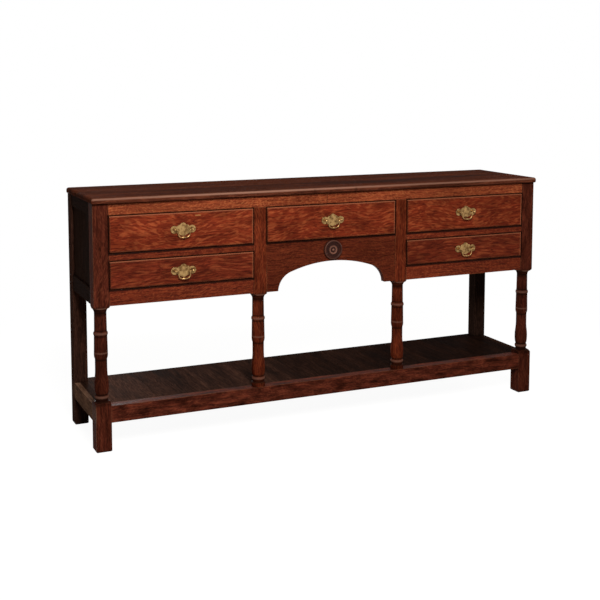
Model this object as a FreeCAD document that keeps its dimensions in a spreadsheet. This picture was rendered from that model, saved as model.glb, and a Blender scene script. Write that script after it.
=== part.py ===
import FreeCAD, Part
import math
import os
import Sketcher

# Dresser base: five drawers over an arched apron, turned front posts and a potboard.
# Millimetres. X runs to the right along the front, Y runs to the back, Z runs up.
# The origin is on the floor, under the middle of the top board.

doc = FreeCAD.newDocument("dresser_base")

# Driving dimensions
sizes = {
    # Overall frame
    "total_height": 838,
    "frame_width": 1706,
    "frame_depth": 364,
    # Top board
    "top_thickness": 19,
    "top_front_overhang": 13,
    "top_end_overhang": 4,
    "top_front_plank_width": 214,
    "top_plank_gap": 0.4,
    "nosing_radius": 8,
    "nosing_lower_radius": 5,
    "top_corner_radius": 7,
    # Posts and legs
    "front_post_width": 52,
    "rear_leg_width": 48,
    "muntin_width": 48,
    "foot_chamfer": 3,
    # Heights on the front
    "foot_height": 96,
    "potboard_rail_height": 56,
    "bottom_rail_height": 52,
    "lower_opening_height": 95,
    "divider_rail_height": 24,
    "upper_opening_height": 125,
    "top_rail_height": 39,
    # Front rails
    "rail_setback": 1,
    "rail_thickness": 25,
    # Mortise and tenon joints
    "tenon_length": 22,
    "tenon_thickness": 10,
    "tenon_shoulder": 5,
    "mortise_clearance": 0.2,
    "mortise_end_clearance": 1,
    # Turned columns, from the case down; shaft, drum and waist share the length that the rest leaves
    "pommel_rise": 3,
    "pommel_convex_drop": 9,
    "pommel_drop": 21,
    "pommel_middle_radius": 25.5,
    "pommel_convex_bulge": 2.2,
    "pommel_hollow_bulge": 0.9,
    "shaft_radius": 20,
    "shaft_lower_radius": 20.7,
    "shaft_share": 0.4118,
    "ring_length": 14,
    "ring_bulge": 2.6,
    "drum_radius": 21.6,
    "drum_lower_radius": 22.6,
    "drum_share": 0.3791,
    "drum_step_length": 20,
    "drum_step_bulge": 1.2,
    "waist_radius": 19.8,
    "vase_hollow_length": 33,
    "vase_rise": 91,
    "vase_radius": 22,
    "vase_length": 48,
    "vase_bulge": 1.7,
    "vase_hollow_bulge": 0.6,
    "neck_radius": 20.4,
    "neck_rise": 40,
    "base_bead_rise": 23,
    "base_bead_length": 13,
    "base_bead_bulge": 2.8,
    "block_shoulder_rise": 14,
    "block_rise": 4,
    "block_shoulder_bulge": 2.4,
    "plinth_radius": 23.4,
    "plinth_rise": 15,
    "plinth_bulge": 1,
    "dowel_radius": 8,
    "dowel_length": 30,
    "dowel_clearance": 0.15,
    # Apron with its arch and boss
    "apron_thickness": 25,
    "arch_half_width": 208,
    "arch_shoulder_half_width": 155,
    "arch_shoulder_rise": 66,
    "arch_rise": 92.5,
    "arch_end_bulge": 13.8,
    "boss_radius": 34.5,
    "boss_thickness": 9,
    "boss_field_depth": 4.5,
    "boss_rim_width": 8,
    "boss_ring_radius": 15,
    "boss_ring_width": 4,
    "boss_ring_bulge": 1.9,
    "boss_button_radius": 6,
    "boss_button_bulge": 2,
    "boss_drop": 39,
    # Ends
    "end_setback": 2,
    "end_rail_thickness": 22,
    "end_top_rail_height": 40,
    "end_panel_thickness": 8,
    "panel_groove_depth": 7,
    "panel_clearance": 0.3,
    # Back
    "back_rail_thickness": 22,
    "back_bottom_rail_height": 40,
    "back_board_thickness": 11,
    "back_board_inset": 2,
    "back_board_count": 3,
    "back_board_gap": 1,
    # Drawer runners and kickers
    "runner_ledge": 25,
    "runner_height": 20,
    "guide_height": 20,
    "lower_guide_width": 19,
    "kicker_height": 20,
    # Potboard
    "potboard_front_rail_thickness": 48,
    "potboard_side_rail_thickness": 28,
    "potboard_end_setback": 0.5,
    "potboard_rebate": 10,
    "plank_thickness": 16,
    "plank_width": 181,
    "plank_offset": -268,
    "plank_gap": 0.8,
    "plank_lap": 8,
    "plank_lip_thickness": 7.5,
    "plank_lap_clearance": 0.5,
    "plank_least_width": 70,
    "plank_notch_clearance": 0.5,
    # Drawers
    "drawer_side_gap": 2,
    "drawer_top_gap": 3,
    "drawer_bottom_gap": 2.5,
    "drawer_running_gap": 0.2,
    "drawer_front_thickness": 20,
    "drawer_side_thickness": 11,
    "drawer_side_drop": 3,
    "drawer_back_thickness": 10,
    "drawer_back_drop": 4,
    "drawer_back_clearance": 12,
    "drawer_bottom_thickness": 7,
    "drawer_bottom_rise": 12,
    "drawer_groove_depth": 5,
    "drawer_groove_clearance": 0.2,
    "bead_width": 3.2,
    "bead_height": 1.5,
    "bead_rounding": 1.2,
    "tail_length": 13,
    "tail_taper": 1.9,
    "pin_width": 6,
    "tail_spacing": 30,
    # Pulls
    "upper_pull_rise": 4,
    "lower_pull_rise": 0,
    "plate_thickness": 1.6,
    "plate_top": 22.5,
    "plate_ear_half_width": 11,
    "plate_ear_height": 15,
    "plate_wing_root": 21.5,
    "plate_wing_root_height": 9,
    "plate_wing_reach": 22,
    "plate_foot_half_width": 12,
    "plate_foot_height": 17,
    "plate_bottom": 21.5,
    "plate_ear_bulge": 1.6,
    "plate_lobe_bulge": 2.4,
    "pull_spacing": 60,
    "bolt_radius": 2.2,
    "bolt_clearance": 0.2,
    "bolt_tail": 1.5,
    "nut_radius": 5,
    "nut_thickness": 4,
    "flange_radius": 5.5,
    "flange_thickness": 1.5,
    "stem_radius": 3,
    "head_radius": 5,
    "head_reach": 10,
    "bail_radius": 2,
    "bail_pin_clearance": 0.06,
    "bail_pin_depth": 2,
    "bail_pin_end_gap": 1,
    "bail_half_width": 20,
    "bail_drop": 26,
    "bail_neck_radius": 5,
    "bail_corner_radius": 13,
    "bail_grip_bulge": 1.1,
}

sheet = doc.addObject("Spreadsheet::Sheet", "sizes")
for row, (alias, number) in enumerate(sizes.items(), start=1):
    sheet.set(f"A{row}", alias)
    sheet.set(f"B{row}", str(number))
    sheet.setAlias(f"B{row}", alias)
doc.recompute()


class Length:
    # A number that keeps the formula it came from, so that a feature can be bound to it.

    def __init__(self, formula, value):
        self.formula = formula
        self.value = value

    def __add__(self, other):
        other = as_length(other)
        return Length(f"({self.formula} + {other.formula})", self.value + other.value)

    def __sub__(self, other):
        other = as_length(other)
        return Length(f"({self.formula} - {other.formula})", self.value - other.value)

    def __mul__(self, other):
        other = as_length(other)
        return Length(f"({self.formula} * {other.formula})", self.value * other.value)

    def __truediv__(self, other):
        other = as_length(other)
        return Length(f"({self.formula} / {other.formula})", self.value / other.value)

    def __rsub__(self, other):
        return as_length(other) - self

    def __neg__(self):
        return self * -1

    __radd__ = __add__
    __rmul__ = __mul__


def as_length(number):
    if isinstance(number, Length):
        return number
    return Length(f"({float(number)})", float(number))


def root(length):
    return Length(f"sqrt({length.formula})", math.sqrt(length.value))


class SheetReader:
    # Gives a sheet's cells as lengths, by alias.

    def __init__(self, source):
        self.source = source

    def __getattr__(self, alias):
        return Length(f"{self.source.Name}.{alias}", float(self.source.get(alias)))


dim = SheetReader(sheet)

# Places that several pieces share, worked out from the driving dimensions
place_sheet = doc.addObject("Spreadsheet::Sheet", "places")
place_count = 0


def place(alias, length):
    global place_count
    place_count += 1
    place_sheet.set(f"A{place_count}", alias)
    place_sheet.set(f"B{place_count}", f"={length.formula}")
    place_sheet.setAlias(f"B{place_count}", alias)
    place_sheet.recompute()


at = SheetReader(place_sheet)
place("side", dim.frame_width / 2)
place("front", (dim.top_front_overhang - dim.frame_depth) / 2)
place("back", (dim.top_front_overhang + dim.frame_depth) / 2)
place("top_underside", dim.total_height - dim.top_thickness)
place("post_inner", at.side - dim.front_post_width)
place("post_back", at.front + dim.front_post_width)
place("leg_inner", at.side - dim.rear_leg_width)
place("leg_front", at.back - dim.rear_leg_width)
place("opening_width", (at.post_inner * 2 - dim.muntin_width * 2) / 3)
place("muntin_inner", at.opening_width / 2)
place("muntin_outer", at.muntin_inner + dim.muntin_width)
place("muntin_back", at.front + dim.muntin_width)
place("bank_centre", (at.muntin_outer + at.post_inner) / 2)
place("face", at.front + dim.rail_setback)
place("rail_back", at.face + dim.rail_thickness)
place("potboard_top", dim.foot_height + dim.potboard_rail_height)
place("upper_head", at.top_underside - dim.top_rail_height)
place("upper_sill", at.upper_head - dim.upper_opening_height)
place("lower_head", at.upper_sill - dim.divider_rail_height)
place("lower_sill", at.lower_head - dim.lower_opening_height)
place("case_bottom", at.lower_sill - dim.bottom_rail_height)
place("end_face", at.side - dim.end_setback)
place("end_inner", at.end_face - dim.end_rail_thickness)
place("end_middle", (at.end_face + at.end_inner) / 2)
place("end_top_rail_bottom", at.top_underside - dim.end_top_rail_height)
place("back_board_back", at.back - dim.back_board_inset)
place("back_rail_back", at.back_board_back - dim.back_board_thickness)
place("back_rail_front", at.back_rail_back - dim.back_rail_thickness)
place("back_bottom", at.lower_sill - dim.runner_height)
place("back_bottom_rail_top", at.back_bottom + dim.back_bottom_rail_height)
place("potboard_rebate_front", at.face + dim.potboard_front_rail_thickness - dim.potboard_rebate)
place("potboard_end_face", at.side - dim.potboard_end_setback)
place("potboard_end_inner", at.potboard_end_face - dim.potboard_side_rail_thickness)
place("plank_end", at.potboard_end_inner + dim.potboard_rebate)
place("plank_underside", at.potboard_top - dim.plank_thickness)
place("bail_axis", at.face - dim.plate_thickness - dim.head_reach)
doc.recompute()


# Modelling helpers
def bind(target, name, length):
    target.setExpression(name, as_length(length).formula)


def put(target, x, y, z):
    for letter, length in zip("xyz", (x, y, z)):
        bind(target, f"Placement.Base.{letter}", length)


def box(name, x, y, z):
    # Each of x, y and z is a pair of limits.
    made = doc.addObject("Part::Box", name)
    for side, (low, high) in zip(("Length", "Width", "Height"), (x, y, z)):
        bind(made, side, as_length(high) - low)
    put(made, x[0], y[0], z[0])
    return made


def rod(name, radius, length, x, y, z, direction):
    # A cylinder from a point along a direction.
    made = doc.addObject("Part::Cylinder", name)
    bind(made, "Radius", radius)
    bind(made, "Height", length)
    made.Placement = FreeCAD.Placement(FreeCAD.Vector(), FreeCAD.Rotation(FreeCAD.Vector(0, 0, 1), direction))
    put(made, x, y, z)
    return made


def fuse(name, pieces):
    made = doc.addObject("Part::MultiFuse", name)
    made.Shapes = pieces
    made.Refine = True
    return made


def cut(name, base, tools):
    made = doc.addObject("Part::Cut", name)
    made.Base = base
    made.Tool = tools[0] if len(tools) == 1 else fuse(f"{name}_cutters", tools)
    return made


def group(name, pieces):
    made = doc.addObject("Part::Compound", name)
    made.Links = pieces
    return made


def sided(side, near, far):
    # Limits of a span on the right (1) or the left (-1) of the middle.
    return (near, far) if side > 0 else (-as_length(far), -as_length(near))


def grown(span, clearance):
    return (span[0] - clearance, span[1] + clearance)


def centred(span, width):
    middle = (span[0] + span[1]) / 2
    return (middle - width / 2, middle + width / 2)


def new_body(name, x=0, y=0, z=0):
    made = doc.addObject("PartDesign::Body", name)
    put(made, x, y, z)
    return made


def new_sketch(body, name, plane):
    made = body.newObject("Sketcher::SketchObject", name)
    support = next(item for item in body.Origin.OriginFeatures if item.Role == plane)
    made.AttachmentSupport = (support, [""])
    made.MapMode = "FlatFace"
    return made


def pin_point(sketch, geometry, point, x, y):
    # Ties a point of the sketch to its two coordinates.
    for kind, axis, length in (("DistanceX", -2, as_length(x)), ("DistanceY", -1, as_length(y))):
        if length.value == 0:
            sketch.addConstraint(Sketcher.Constraint("PointOnObject", geometry, point, axis))
        else:
            index = sketch.addConstraint(Sketcher.Constraint(kind, -1, 1, geometry, point, length.value))
            bind(sketch, f"Constraints[{index}]", length)


def outline(sketch, points, closed=True):
    # Points are (x, y) or (x, y, bulge): a bulge curves the stretch to the next point to its left.
    corners = [(as_length(point[0]), as_length(point[1])) for point in points]
    bulges = [as_length(point[2]) if len(point) > 2 else None for point in points]
    count = len(points) if closed else len(points) - 1
    ends = []
    for index in range(count):
        (x0, y0), (x1, y1) = corners[index], corners[(index + 1) % len(points)]
        start = FreeCAD.Vector(x0.value, y0.value, 0)
        finish = FreeCAD.Vector(x1.value, y1.value, 0)
        bulge = bulges[index]
        if bulge is None:
            geometry = sketch.addGeometry(Part.LineSegment(start, finish))
        else:
            chord = finish - start
            left = FreeCAD.Vector(-chord.y, chord.x, 0).normalize()
            geometry = sketch.addGeometry(Part.Arc(start, (start + finish) / 2 + left * bulge.value, finish))
        turned = sketch.getPoint(geometry, 1).distanceToPoint(start) > 1e-6
        ends.append((geometry, 2, 1) if turned else (geometry, 1, 2))
    for index, (geometry, first, last) in enumerate(ends):
        pin_point(sketch, geometry, first, *corners[index])
        if closed or index + 1 < count:
            following = ends[(index + 1) % count]
            link = Sketcher.Constraint("Coincident", geometry, last, following[0], following[1])
            sketch.addConstraint(link)
        else:
            pin_point(sketch, geometry, last, *corners[-1])
        bulge = bulges[index]
        if bulge is not None:
            (x0, y0), (x1, y1) = corners[index], corners[(index + 1) % len(points)]
            half_chord_squared = ((x1 - x0) * (x1 - x0) + (y1 - y0) * (y1 - y0)) / 4
            size = -1 * bulge if bulge.value < 0 else bulge
            radius = (half_chord_squared + size * size) / (size * 2)
            number = sketch.addConstraint(Sketcher.Constraint("Radius", geometry, radius.value))
            bind(sketch, f"Constraints[{number}]", radius)


def circle(sketch, x, y, radius):
    centre = FreeCAD.Vector(as_length(x).value, as_length(y).value, 0)
    geometry = sketch.addGeometry(Part.Circle(centre, FreeCAD.Vector(0, 0, 1), radius.value))
    pin_point(sketch, geometry, 3, x, y)
    number = sketch.addConstraint(Sketcher.Constraint("Radius", geometry, radius.value))
    bind(sketch, f"Constraints[{number}]", radius)


def rectangle(x, y):
    return [(x[0], y[0]), (x[1], y[0]), (x[1], y[1]), (x[0], y[1])]


def pad(body, sketch, length, backward=False):
    made = body.newObject("PartDesign::Pad", f"{sketch.Name}_pad")
    made.Profile = sketch
    made.Reversed = backward
    bind(made, "Length", length)
    return made


def turn(body, sketch, kind):
    # A full turn about the sketch's upright axis, adding or taking away.
    made = body.newObject(f"PartDesign::{kind}", f"{sketch.Name}_turned")
    made.Profile = sketch
    made.ReferenceAxis = (sketch, ["V_Axis"])
    made.Angle = 360
    return made


def dress(body, kind, base, size_name, length, wanted):
    # Rounds or chamfers the edges whose middle the test picks.
    doc.recompute()
    names = []
    for number, edge in enumerate(base.Shape.Edges, start=1):
        middle = edge.valueAt((edge.FirstParameter + edge.LastParameter) / 2)
        if wanted(middle, edge):
            names.append(f"Edge{number}")
    made = body.newObject(f"PartDesign::{kind}", f"{base.Name}_{kind.lower()}")
    made.Base = (base, names)
    bind(made, size_name, length)
    return made


def near(first, second):
    return abs(first - as_length(second).value) < 0.01


# Mortises wait here, by the name of the post that they are cut from.
mortises = {}


def jointed(name, spans, axis, holders):
    # A rail with a tenon on each end, and its mortises in the two holders.
    across = "y" if axis != "y" else "x"
    upright = "z" if axis != "z" else "x"
    section = dict(spans)
    section[across] = centred(spans[across], dim.tenon_thickness)
    section[upright] = grown(spans[upright], -1 * dim.tenon_shoulder)
    pieces = [box(f"{name}_rail", spans["x"], spans["y"], spans["z"])]
    for end, holder in zip((-1, 1), holders):
        shoulder = as_length(spans[axis][0] if end < 0 else spans[axis][1])
        tip = shoulder + end * dim.tenon_length
        deep = tip + end * dim.mortise_end_clearance
        tenon = dict(section)
        tenon[axis] = (tip, shoulder) if end < 0 else (shoulder, tip)
        pieces.append(box(f"{name}_tenon", tenon["x"], tenon["y"], tenon["z"]))
        hole = {letter: grown(section[letter], dim.mortise_clearance) for letter in (across, upright)}
        hole[axis] = (deep, shoulder) if end < 0 else (shoulder, deep)
        mortises.setdefault(holder, []).append(box(f"{holder}_mortise", hole["x"], hole["y"], hole["z"]))
    return fuse(name, pieces)


def side_name(side):
    return "right" if side > 0 else "left"


subparts = []


def keep(made):
    subparts.append(made)
    return made


sides = (-1, 1)

# Front rails between the posts
keep(jointed(
    "top_front_rail",
    {"x": (-at.post_inner, at.post_inner), "y": (at.face, at.rail_back), "z": (at.upper_head, at.top_underside)},
    "x",
    ("left_front_post", "right_front_post"),
))


def bank_rails(name, z):
    rails = []
    for side in sides:
        word = side_name(side)
        holders = (f"{word}_middle_post", f"{word}_front_post")
        spans = {"x": sided(side, at.muntin_outer, at.post_inner), "y": (at.face, at.rail_back), "z": z}
        rails.append(jointed(f"{word}_{name}", spans, "x", holders[::side]))
    return keep(group(f"{name}s", rails))


bank_rails("divider_rail", (at.lower_head, at.upper_sill))
bank_rails("bottom_rail", (at.case_bottom, at.lower_sill))


# Apron with a low arch between two small end curves
def make_apron():
    body = new_body("apron_board", 0, at.face, 0)
    arch = new_sketch(body, "apron_outline", "XZ_Plane")
    shoulder_height = at.case_bottom + dim.arch_shoulder_rise
    points = [
        (-at.muntin_inner, at.upper_sill),
        (-at.muntin_inner, at.case_bottom),
        (-dim.arch_half_width, at.case_bottom, dim.arch_end_bulge),
        (-dim.arch_shoulder_half_width, shoulder_height, dim.arch_rise - dim.arch_shoulder_rise),
        (dim.arch_shoulder_half_width, shoulder_height, dim.arch_end_bulge),
        (dim.arch_half_width, at.case_bottom),
        (at.muntin_inner, at.case_bottom),
        (at.muntin_inner, at.upper_sill),
    ]
    outline(arch, points)
    pad(body, arch, dim.apron_thickness, backward=True)
    pieces = [body]
    thick = centred((at.face, at.face + dim.apron_thickness), dim.tenon_thickness)
    tall = grown((at.case_bottom, at.upper_sill), -1 * dim.tenon_shoulder)
    for side in sides:
        holder = f"{side_name(side)}_middle_post"
        tip = at.muntin_inner + dim.tenon_length
        deep = tip + dim.mortise_end_clearance
        pieces.append(box("apron_tenon", sided(side, at.muntin_inner, tip), thick, tall))
        mortise = box(
            f"{holder}_mortise",
            sided(side, at.muntin_inner, deep),
            grown(thick, dim.mortise_clearance),
            grown(tall, dim.mortise_clearance),
        )
        mortises.setdefault(holder, []).append(mortise)
    return keep(fuse("apron", pieces))


def make_boss():
    body = new_body("apron_boss", 0, at.face, at.upper_sill - dim.boss_drop)
    profile = new_sketch(body, "boss_profile", "XY_Plane")
    field = -1 * dim.boss_field_depth
    rim_inner = dim.boss_radius - dim.boss_rim_width
    ring_outer = dim.boss_ring_radius + dim.boss_ring_width / 2
    ring_inner = dim.boss_ring_radius - dim.boss_ring_width / 2
    points = [
        (0, 0),
        (0, field - dim.boss_button_bulge * 2, dim.boss_button_bulge / -2),
        (dim.boss_button_radius, field),
        (ring_inner, field, -dim.boss_ring_bulge),
        (ring_outer, field),
        (rim_inner, field, dim.boss_rim_width / -5),
        (dim.boss_radius - dim.boss_rim_width / 3, -dim.boss_thickness, dim.boss_rim_width / -8),
        (dim.boss_radius, field),
        (dim.boss_radius, 0),
    ]
    outline(profile, points)
    turn(body, profile, "Revolution")
    return keep(body)


make_apron()
make_boss()

# End frames: two rails and a panel held in a groove
panel_z = (at.lower_sill - dim.panel_groove_depth, at.end_top_rail_bottom + dim.panel_groove_depth)
panel_y = (at.post_back - dim.panel_groove_depth, at.leg_front + dim.panel_groove_depth)
for side in sides:
    word = side_name(side)
    holders = (f"{word}_front_post", f"{word}_rear_leg")
    thick = centred((at.end_inner, at.end_face), dim.end_panel_thickness)
    groove_thick = grown(thick, dim.panel_clearance)
    groove = box(
        f"{word}_panel_groove",
        sided(side, *groove_thick),
        grown(panel_y, dim.panel_clearance),
        grown(panel_z, dim.panel_clearance),
    )
    rails = []
    levels = {
        "top": (at.end_top_rail_bottom, at.top_underside),
        "bottom": (at.case_bottom, at.lower_sill),
    }
    for level, z in levels.items():
        spans = {"x": sided(side, at.end_inner, at.end_face), "y": (at.post_back, at.leg_front), "z": z}
        rail = jointed(f"{word}_end_{level}_rail", spans, "y", holders)
        rails.append(cut(f"{word}_end_{level}_grooved_rail", rail, [groove]))
    keep(group(f"{word}_end_rails", rails))
    keep(box(f"{word}_end_panel", sided(side, *thick), panel_y, panel_z))
    for holder in holders:
        mortises.setdefault(holder, []).append(groove)

# Back frame and its boards
back_rail_y = (at.back_rail_front, at.back_rail_back)
back_levels = {"top": (at.upper_head, at.top_underside), "bottom": (at.back_bottom, at.back_bottom_rail_top)}
back_rails = []
for level, z in back_levels.items():
    spans = {"x": (-at.leg_inner, at.leg_inner), "y": back_rail_y, "z": z}
    back_rails.append(jointed(f"back_{level}_rail", spans, "x", ("left_rear_leg", "right_rear_leg")))
back_muntins = []
for side in sides:
    spans = {
        "x": sided(side, at.muntin_inner, at.muntin_outer),
        "y": back_rail_y,
        "z": (at.back_bottom_rail_top, at.upper_head),
    }
    holders = ("back_bottom_rail", "back_top_rail")
    back_muntins.append(jointed(f"{side_name(side)}_back_muntin", spans, "z", holders))
mortised_rails = [cut(f"mortised_{rail.Name}", rail, mortises[rail.Name]) for rail in back_rails]
keep(group("back_frame", mortised_rails + back_muntins))

board_count = round(dim.back_board_count.value)
board_height = (at.top_underside - at.back_bottom) / dim.back_board_count
back_boards = []
for index in range(board_count):
    bottom = at.back_bottom + board_height * index
    gap = dim.back_board_gap if index + 1 < board_count else 0
    back_boards.append(box(
        "back_board",
        (-at.leg_inner, at.leg_inner),
        (at.back_rail_back, at.back_board_back),
        (bottom, bottom + board_height - gap),
    ))
keep(group("back_boards", back_boards))

# Drawer runners with guides, and kickers that stop the upper drawers tipping
outer_y = (at.post_back, at.leg_front)
inner_y = (at.muntin_back, at.back_rail_front)


def runner(name, x, guide_x, y, sill):
    ledge = box(f"{name}_ledge", x, y, (sill - dim.runner_height, sill))
    guide = box(f"{name}_guide", guide_x, y, (sill, sill + dim.guide_height))
    return fuse(name, [ledge, guide])


runners = []
kickers = []
for side in sides:
    word = side_name(side)
    outer_x = sided(side, at.post_inner - dim.runner_ledge, at.end_inner)
    outer_guide_x = sided(side, at.post_inner, at.end_inner)
    shared_x = sided(side, at.muntin_inner - dim.runner_ledge, at.muntin_outer + dim.runner_ledge)
    shared_guide_x = sided(side, at.muntin_inner, at.muntin_outer)
    inner_x = sided(side, at.muntin_outer - dim.lower_guide_width, at.muntin_outer + dim.runner_ledge)
    inner_guide_x = sided(side, at.muntin_outer - dim.lower_guide_width, at.muntin_outer)
    runners += [
        runner(f"{word}_upper_outer_runner", outer_x, outer_guide_x, outer_y, at.upper_sill),
        runner(f"{word}_lower_outer_runner", outer_x, outer_guide_x, outer_y, at.lower_sill),
        runner(f"{word}_shared_runner", shared_x, shared_guide_x, inner_y, at.upper_sill),
        runner(f"{word}_lower_inner_runner", inner_x, inner_guide_x, inner_y, at.lower_sill),
    ]
    kicker_z = (at.upper_head, at.upper_head + dim.kicker_height)
    kickers += [
        box(f"{word}_outer_kicker", outer_x, outer_y, kicker_z),
        box(f"{word}_inner_kicker", shared_x, (at.rail_back, at.back_rail_front), kicker_z),
    ]
keep(group("drawer_runners", runners))
keep(group("drawer_kickers", kickers))

# Potboard rails
potboard_z = (dim.foot_height, at.potboard_top)
rebate_z = (at.plank_underside, at.potboard_top)
front_rail = jointed(
    "potboard_front_rail_stock",
    {
        "x": (-at.post_inner, at.post_inner),
        "y": (at.face, at.face + dim.potboard_front_rail_thickness),
        "z": potboard_z,
    },
    "x",
    ("left_front_post", "right_front_post"),
)
front_rebate = box(
    "potboard_front_rebate",
    (-at.post_inner, at.post_inner),
    (at.potboard_rebate_front, at.face + dim.potboard_front_rail_thickness),
    rebate_z,
)
middle_post_x = at.muntin_inner + dim.muntin_width / 2
middle_post_y = at.front + dim.muntin_width / 2
dowel_holes = []
for side in sides:
    dowel_holes.append(rod(
        f"{side_name(side)}_dowel_hole",
        dim.dowel_radius + dim.dowel_clearance,
        dim.dowel_length + dim.mortise_end_clearance,
        side * middle_post_x,
        middle_post_y,
        at.potboard_top - dim.dowel_length - dim.mortise_end_clearance,
        FreeCAD.Vector(0, 0, 1),
    ))
keep(cut("potboard_front_rail", front_rail, [front_rebate] + dowel_holes))

end_rails = []
for side in sides:
    word = side_name(side)
    rail = jointed(
        f"{word}_potboard_end_rail_stock",
        {
            "x": sided(side, at.potboard_end_inner, at.potboard_end_face),
            "y": (at.post_back, at.leg_front),
            "z": potboard_z,
        },
        "y",
        (f"{word}_front_post", f"{word}_rear_leg"),
    )
    rebate = box(
        f"{word}_potboard_rebate",
        sided(side, at.potboard_end_inner, at.plank_end),
        (at.post_back, at.leg_front),
        rebate_z,
    )
    end_rails.append(cut(f"{word}_potboard_end_rail", rail, [rebate]))
keep(group("potboard_end_rails", end_rails))

keep(jointed(
    "potboard_back_rail",
    {
        "x": (-at.leg_inner, at.leg_inner),
        "y": (at.back - dim.potboard_side_rail_thickness, at.back),
        "z": (dim.foot_height, at.plank_underside),
    },
    "x",
    ("left_rear_leg", "right_rear_leg"),
))


# Potboard planks run from front to back, each lapped under the next; the end ones are notched round the posts
def plank_joints():
    joints = []
    limit = at.plank_end.value - dim.plank_least_width.value
    pitch = dim.plank_width.value
    first = math.ceil((-limit - dim.plank_offset.value) / pitch)
    last = math.floor((limit - dim.plank_offset.value) / pitch)
    for number in range(first, last + 1):
        joints.append(dim.plank_offset + dim.plank_width * number)
    return joints


def make_planks():
    notches = []
    for side in sides:
        post_notch = (at.post_inner - dim.plank_notch_clearance, at.side)
        leg_notch = (at.leg_inner - dim.plank_notch_clearance, at.side)
        front_y = (at.front, at.post_back + dim.plank_notch_clearance)
        rear_y = (at.leg_front - dim.plank_notch_clearance, at.back)
        notches.append([
            box("plank_post_notch", sided(side, *post_notch), front_y, rebate_z),
            box("plank_leg_notch", sided(side, *leg_notch), rear_y, rebate_z),
        ])
    joints = plank_joints()
    edges = [-at.plank_end] + joints + [at.plank_end]
    plank_y = (at.potboard_rebate_front, at.back)
    lip_z = (at.plank_underside, at.plank_underside + dim.plank_lip_thickness)
    lap_z = (lip_z[0], lip_z[1] + dim.plank_lap_clearance)
    planks = []
    for index, (left, right) in enumerate(zip(edges, edges[1:])):
        is_last = index + 2 == len(edges)
        board_x = (left, right if is_last else right - dim.plank_gap)
        plank = box("potboard_plank", board_x, plank_y, rebate_z)
        if not is_last:
            lip = box("plank_lip", (board_x[1], right + dim.plank_lap), plank_y, lip_z)
            plank = fuse("lipped_plank", [plank, lip])
        if index > 0:
            lap_x = (left, left + dim.plank_lap + dim.plank_lap_clearance)
            plank = cut("lapped_plank", plank, [box("plank_lap_rebate", lap_x, plank_y, lap_z)])
        if index == 0:
            plank = cut("left_end_plank", plank, notches[0])
        if is_last:
            plank = cut("right_end_plank", plank, notches[1])
        planks.append(plank)
    return keep(group("potboard_planks", planks))


make_planks()


# Posts with turned columns
def column_profile(outer):
    # From the square under the case down to the bead above the potboard, as radius and height.
    case = at.case_bottom
    floor = at.potboard_top
    hollow_top = floor + dim.vase_rise + dim.vase_hollow_length
    shaft_top = case - dim.pommel_drop
    shared = shaft_top - hollow_top - dim.ring_length - dim.drum_step_length
    ring_top = shaft_top - shared * dim.shaft_share
    ring_bottom = ring_top - dim.ring_length
    drum_bottom = ring_bottom - shared * dim.drum_share
    bead_bottom = floor + dim.base_bead_rise
    return [
        (outer, case + dim.pommel_rise, dim.pommel_convex_bulge),
        (dim.pommel_middle_radius, case - dim.pommel_convex_drop, -dim.pommel_hollow_bulge),
        (dim.shaft_radius, shaft_top),
        (dim.shaft_lower_radius, ring_top, dim.ring_bulge),
        (dim.drum_radius, ring_bottom),
        (dim.drum_lower_radius, drum_bottom, dim.drum_step_bulge),
        (dim.waist_radius, drum_bottom - dim.drum_step_length),
        (dim.waist_radius, hollow_top, -dim.vase_hollow_bulge),
        (dim.vase_radius, floor + dim.vase_rise, dim.vase_bulge),
        (dim.vase_radius, floor + dim.vase_rise - dim.vase_length),
        (dim.neck_radius, floor + dim.neck_rise),
        (dim.neck_radius, bead_bottom + dim.base_bead_length, dim.base_bead_bulge),
        (dim.neck_radius, bead_bottom),
    ]


def square_stock(name, x, y, bottom, top, width):
    body = new_body(name, x, y, bottom)
    half = width / 2
    section = new_sketch(body, f"{name}_section", "XY_Plane")
    outline(section, rectangle((-half, half), (-half, half)))
    return body, pad(body, section, top - bottom)


def turn_column(body, points, bottom):
    profile = new_sketch(body, f"{body.Name}_column", "XZ_Plane")
    outline(profile, [(point[0], point[1] - bottom, *point[2:]) for point in points])
    return turn(body, profile, "Groove")


for side in sides:
    word = side_name(side)
    half = dim.front_post_width / 2
    body, stock = square_stock(
        f"{word}_front_post_stock", side * (at.side - half), at.front + half, 0, at.top_underside, dim.front_post_width
    )
    dress(body, "Chamfer", stock, "Size", dim.foot_chamfer, lambda middle, edge: near(middle.z, 0))
    outer = dim.front_post_width * 0.75
    shoulder = (dim.neck_radius, at.potboard_top + dim.block_shoulder_rise, dim.block_shoulder_bulge)
    block = (outer, at.potboard_top + dim.block_rise)
    turn_column(body, column_profile(outer) + [shoulder, block], as_length(0))
    name = f"{word}_front_post"
    keep(cut(name, body, mortises[name]))

for side in sides:
    word = side_name(side)
    name = f"{word}_middle_post"
    body, stock = square_stock(
        f"{name}_stock", side * middle_post_x, middle_post_y, at.potboard_top, at.upper_head, dim.muntin_width
    )
    outer = dim.muntin_width * 0.75
    plinth = [
        (dim.neck_radius, at.potboard_top + dim.plinth_rise + dim.plinth_bulge),
        (dim.plinth_radius, at.potboard_top + dim.plinth_rise, dim.plinth_bulge / 2),
        (dim.plinth_radius, at.potboard_top),
        (outer, at.potboard_top),
    ]
    turn_column(body, column_profile(outer) + plinth, at.potboard_top)
    dowel = rod(
        f"{word}_dowel",
        dim.dowel_radius,
        dim.dowel_length,
        side * middle_post_x,
        middle_post_y,
        at.potboard_top - dim.dowel_length,
        FreeCAD.Vector(0, 0, 1),
    )
    keep(fuse(name, [cut(f"{name}_mortised", body, mortises[name]), dowel]))

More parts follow.
